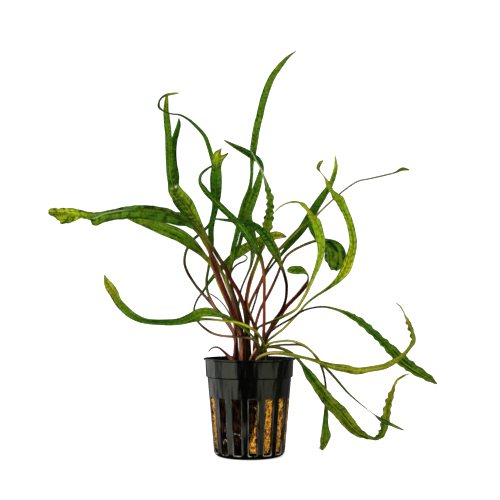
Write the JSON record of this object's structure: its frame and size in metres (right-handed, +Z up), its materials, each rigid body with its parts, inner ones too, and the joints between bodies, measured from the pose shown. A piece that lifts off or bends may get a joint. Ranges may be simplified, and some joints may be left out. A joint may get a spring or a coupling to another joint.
{
  "type": "potted aquarium plant",
  "caption": "Aquarium plant with long strap leaves on thin petioles, rooted in a small slotted black plastic pot filled with mineral wool.",
  "frame": {"origin": "centre of the pot's flat foot, where it stands", "axes": "+Z up the pot's axis, -Y the front that the picture shows, +X to the right of that view"},
  "size_m": [0.2105, 0.0975, 0.238],
  "materials": {
    "pot_plastic": "satin black, injection moulded",
    "wool": "matte, fibrous",
    "roots": "matte, fibrous",
    "crown": "dull, moist",
    "leaf_dark_green": "soft leaf with a waxy sheen",
    "leaf_mid_green": "soft leaf with a waxy sheen",
    "leaf_bright_green": "soft leaf with a waxy sheen",
    "leaf_yellow_green": "soft leaf with a waxy sheen",
    "leaf_olive": "soft leaf with a waxy sheen",
    "shoot_red_brown": "smooth young stem",
    "stub_beige": "dry, cut petiole"
  },
  "bodies": {
    "root": {"pot": "pot_plastic", "mineral_wool": "wool", "root_ball": "roots", "crown": "crown", "leaf_left_long": "leaf_dark_green", "leaf_left_bright": "leaf_bright_green", "leaf_upright_folded": "leaf_bright_green", "leaf_upright_dark": "leaf_dark_green", "leaf_thin_loop": "leaf_dark_green", "leaf_yellow_top": "leaf_dark_green", "leaf_slanting": "leaf_mid_green", "leaf_centre_arch": "leaf_mid_green", "leaf_tallest": "leaf_mid_green", "leaf_bent_dark": "leaf_dark_green", "leaf_wavy": "leaf_mid_green", "leaf_narrow_dark": "leaf_dark_green", "leaf_orange_tip": "leaf_bright_green", "leaf_lower_left": "leaf_mid_green", "leaf_yellow_petiole": "leaf_mid_green", "leaf_right_upper": "leaf_dark_green", "leaf_far_right_thin": "leaf_dark_green", "leaf_yellow_s": "leaf_yellow_green", "leaf_right_yellow": "leaf_yellow_green", "leaf_crumpled": "leaf_dark_green", "leaf_behind_s": "leaf_dark_green", "leaf_small_lens": "leaf_dark_green", "leaf_right_arch": "leaf_dark_green", "leaf_olive_front": "leaf_olive", "leaf_lower_right": "leaf_mid_green", "leaf_hanging_paddle": "leaf_dark_green", "leaf_long_thin_right": "leaf_mid_green", "shoot_hook": "shoot_red_brown", "shoot_curled": "shoot_red_brown", "shoot_grey": "leaf_olive", "petiole_stub": "stub_beige"}
  },
  "joints": []
}
